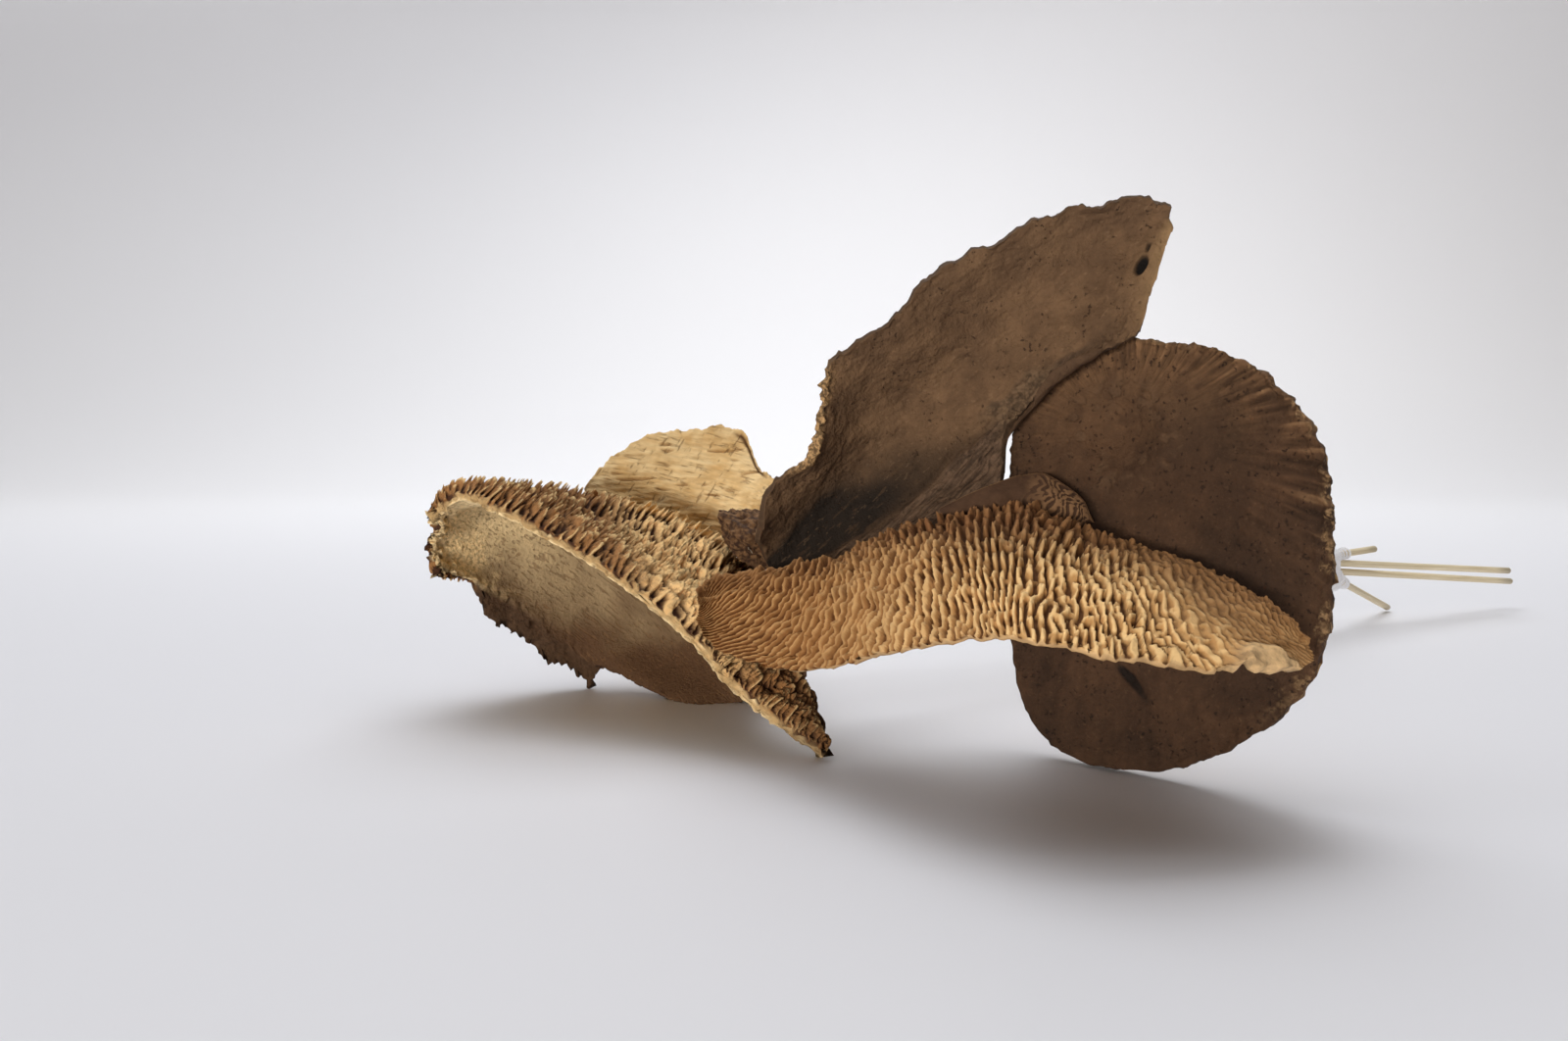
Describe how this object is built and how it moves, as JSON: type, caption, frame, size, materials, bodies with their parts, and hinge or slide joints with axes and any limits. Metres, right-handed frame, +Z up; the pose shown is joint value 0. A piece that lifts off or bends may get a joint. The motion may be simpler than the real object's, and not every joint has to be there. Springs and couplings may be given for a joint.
{
  "type": "dried mushroom",
  "caption": "Bunch of dried bracket mushroom caps with deep tan gills and smooth brown backs, joined at their bases and tied with thread to thin bamboo sticks.",
  "frame": {"origin": "middle of the bunch's footprint, on the surface that it rests on", "axes": "+X runs along the length from the caps to the stick ends, +Y away from the gilled front, +Z up"},
  "size_m": [0.3812, 0.2583, 0.1147],
  "materials": {
    "gill_tan": "matte, dry and fibrous",
    "cap_brown": "matte, leathery",
    "cap_dark": "matte, leathery",
    "blade_brown": "matte, torn and papery",
    "woody_yellow": "matte, finely cracked",
    "lobe_brown": "matte",
    "bark_dark": "rough, crumbly",
    "bamboo": "satin, planed bamboo",
    "white_thread": "matte twisted thread"
  },
  "bodies": {
    "root": {"front_cap": "gill_tan", "upright_cap": "cap_brown", "round_cap": "cap_dark", "left_cap": "blade_brown", "back_cap": "woody_yellow", "small_cap": "lobe_brown", "bark_stub": "bark_dark", "long_stick_1": "bamboo", "long_stick_2": "bamboo", "short_stick_1": "bamboo", "short_stick_2": "bamboo", "thread_tie": "white_thread"}
  },
  "joints": []
}
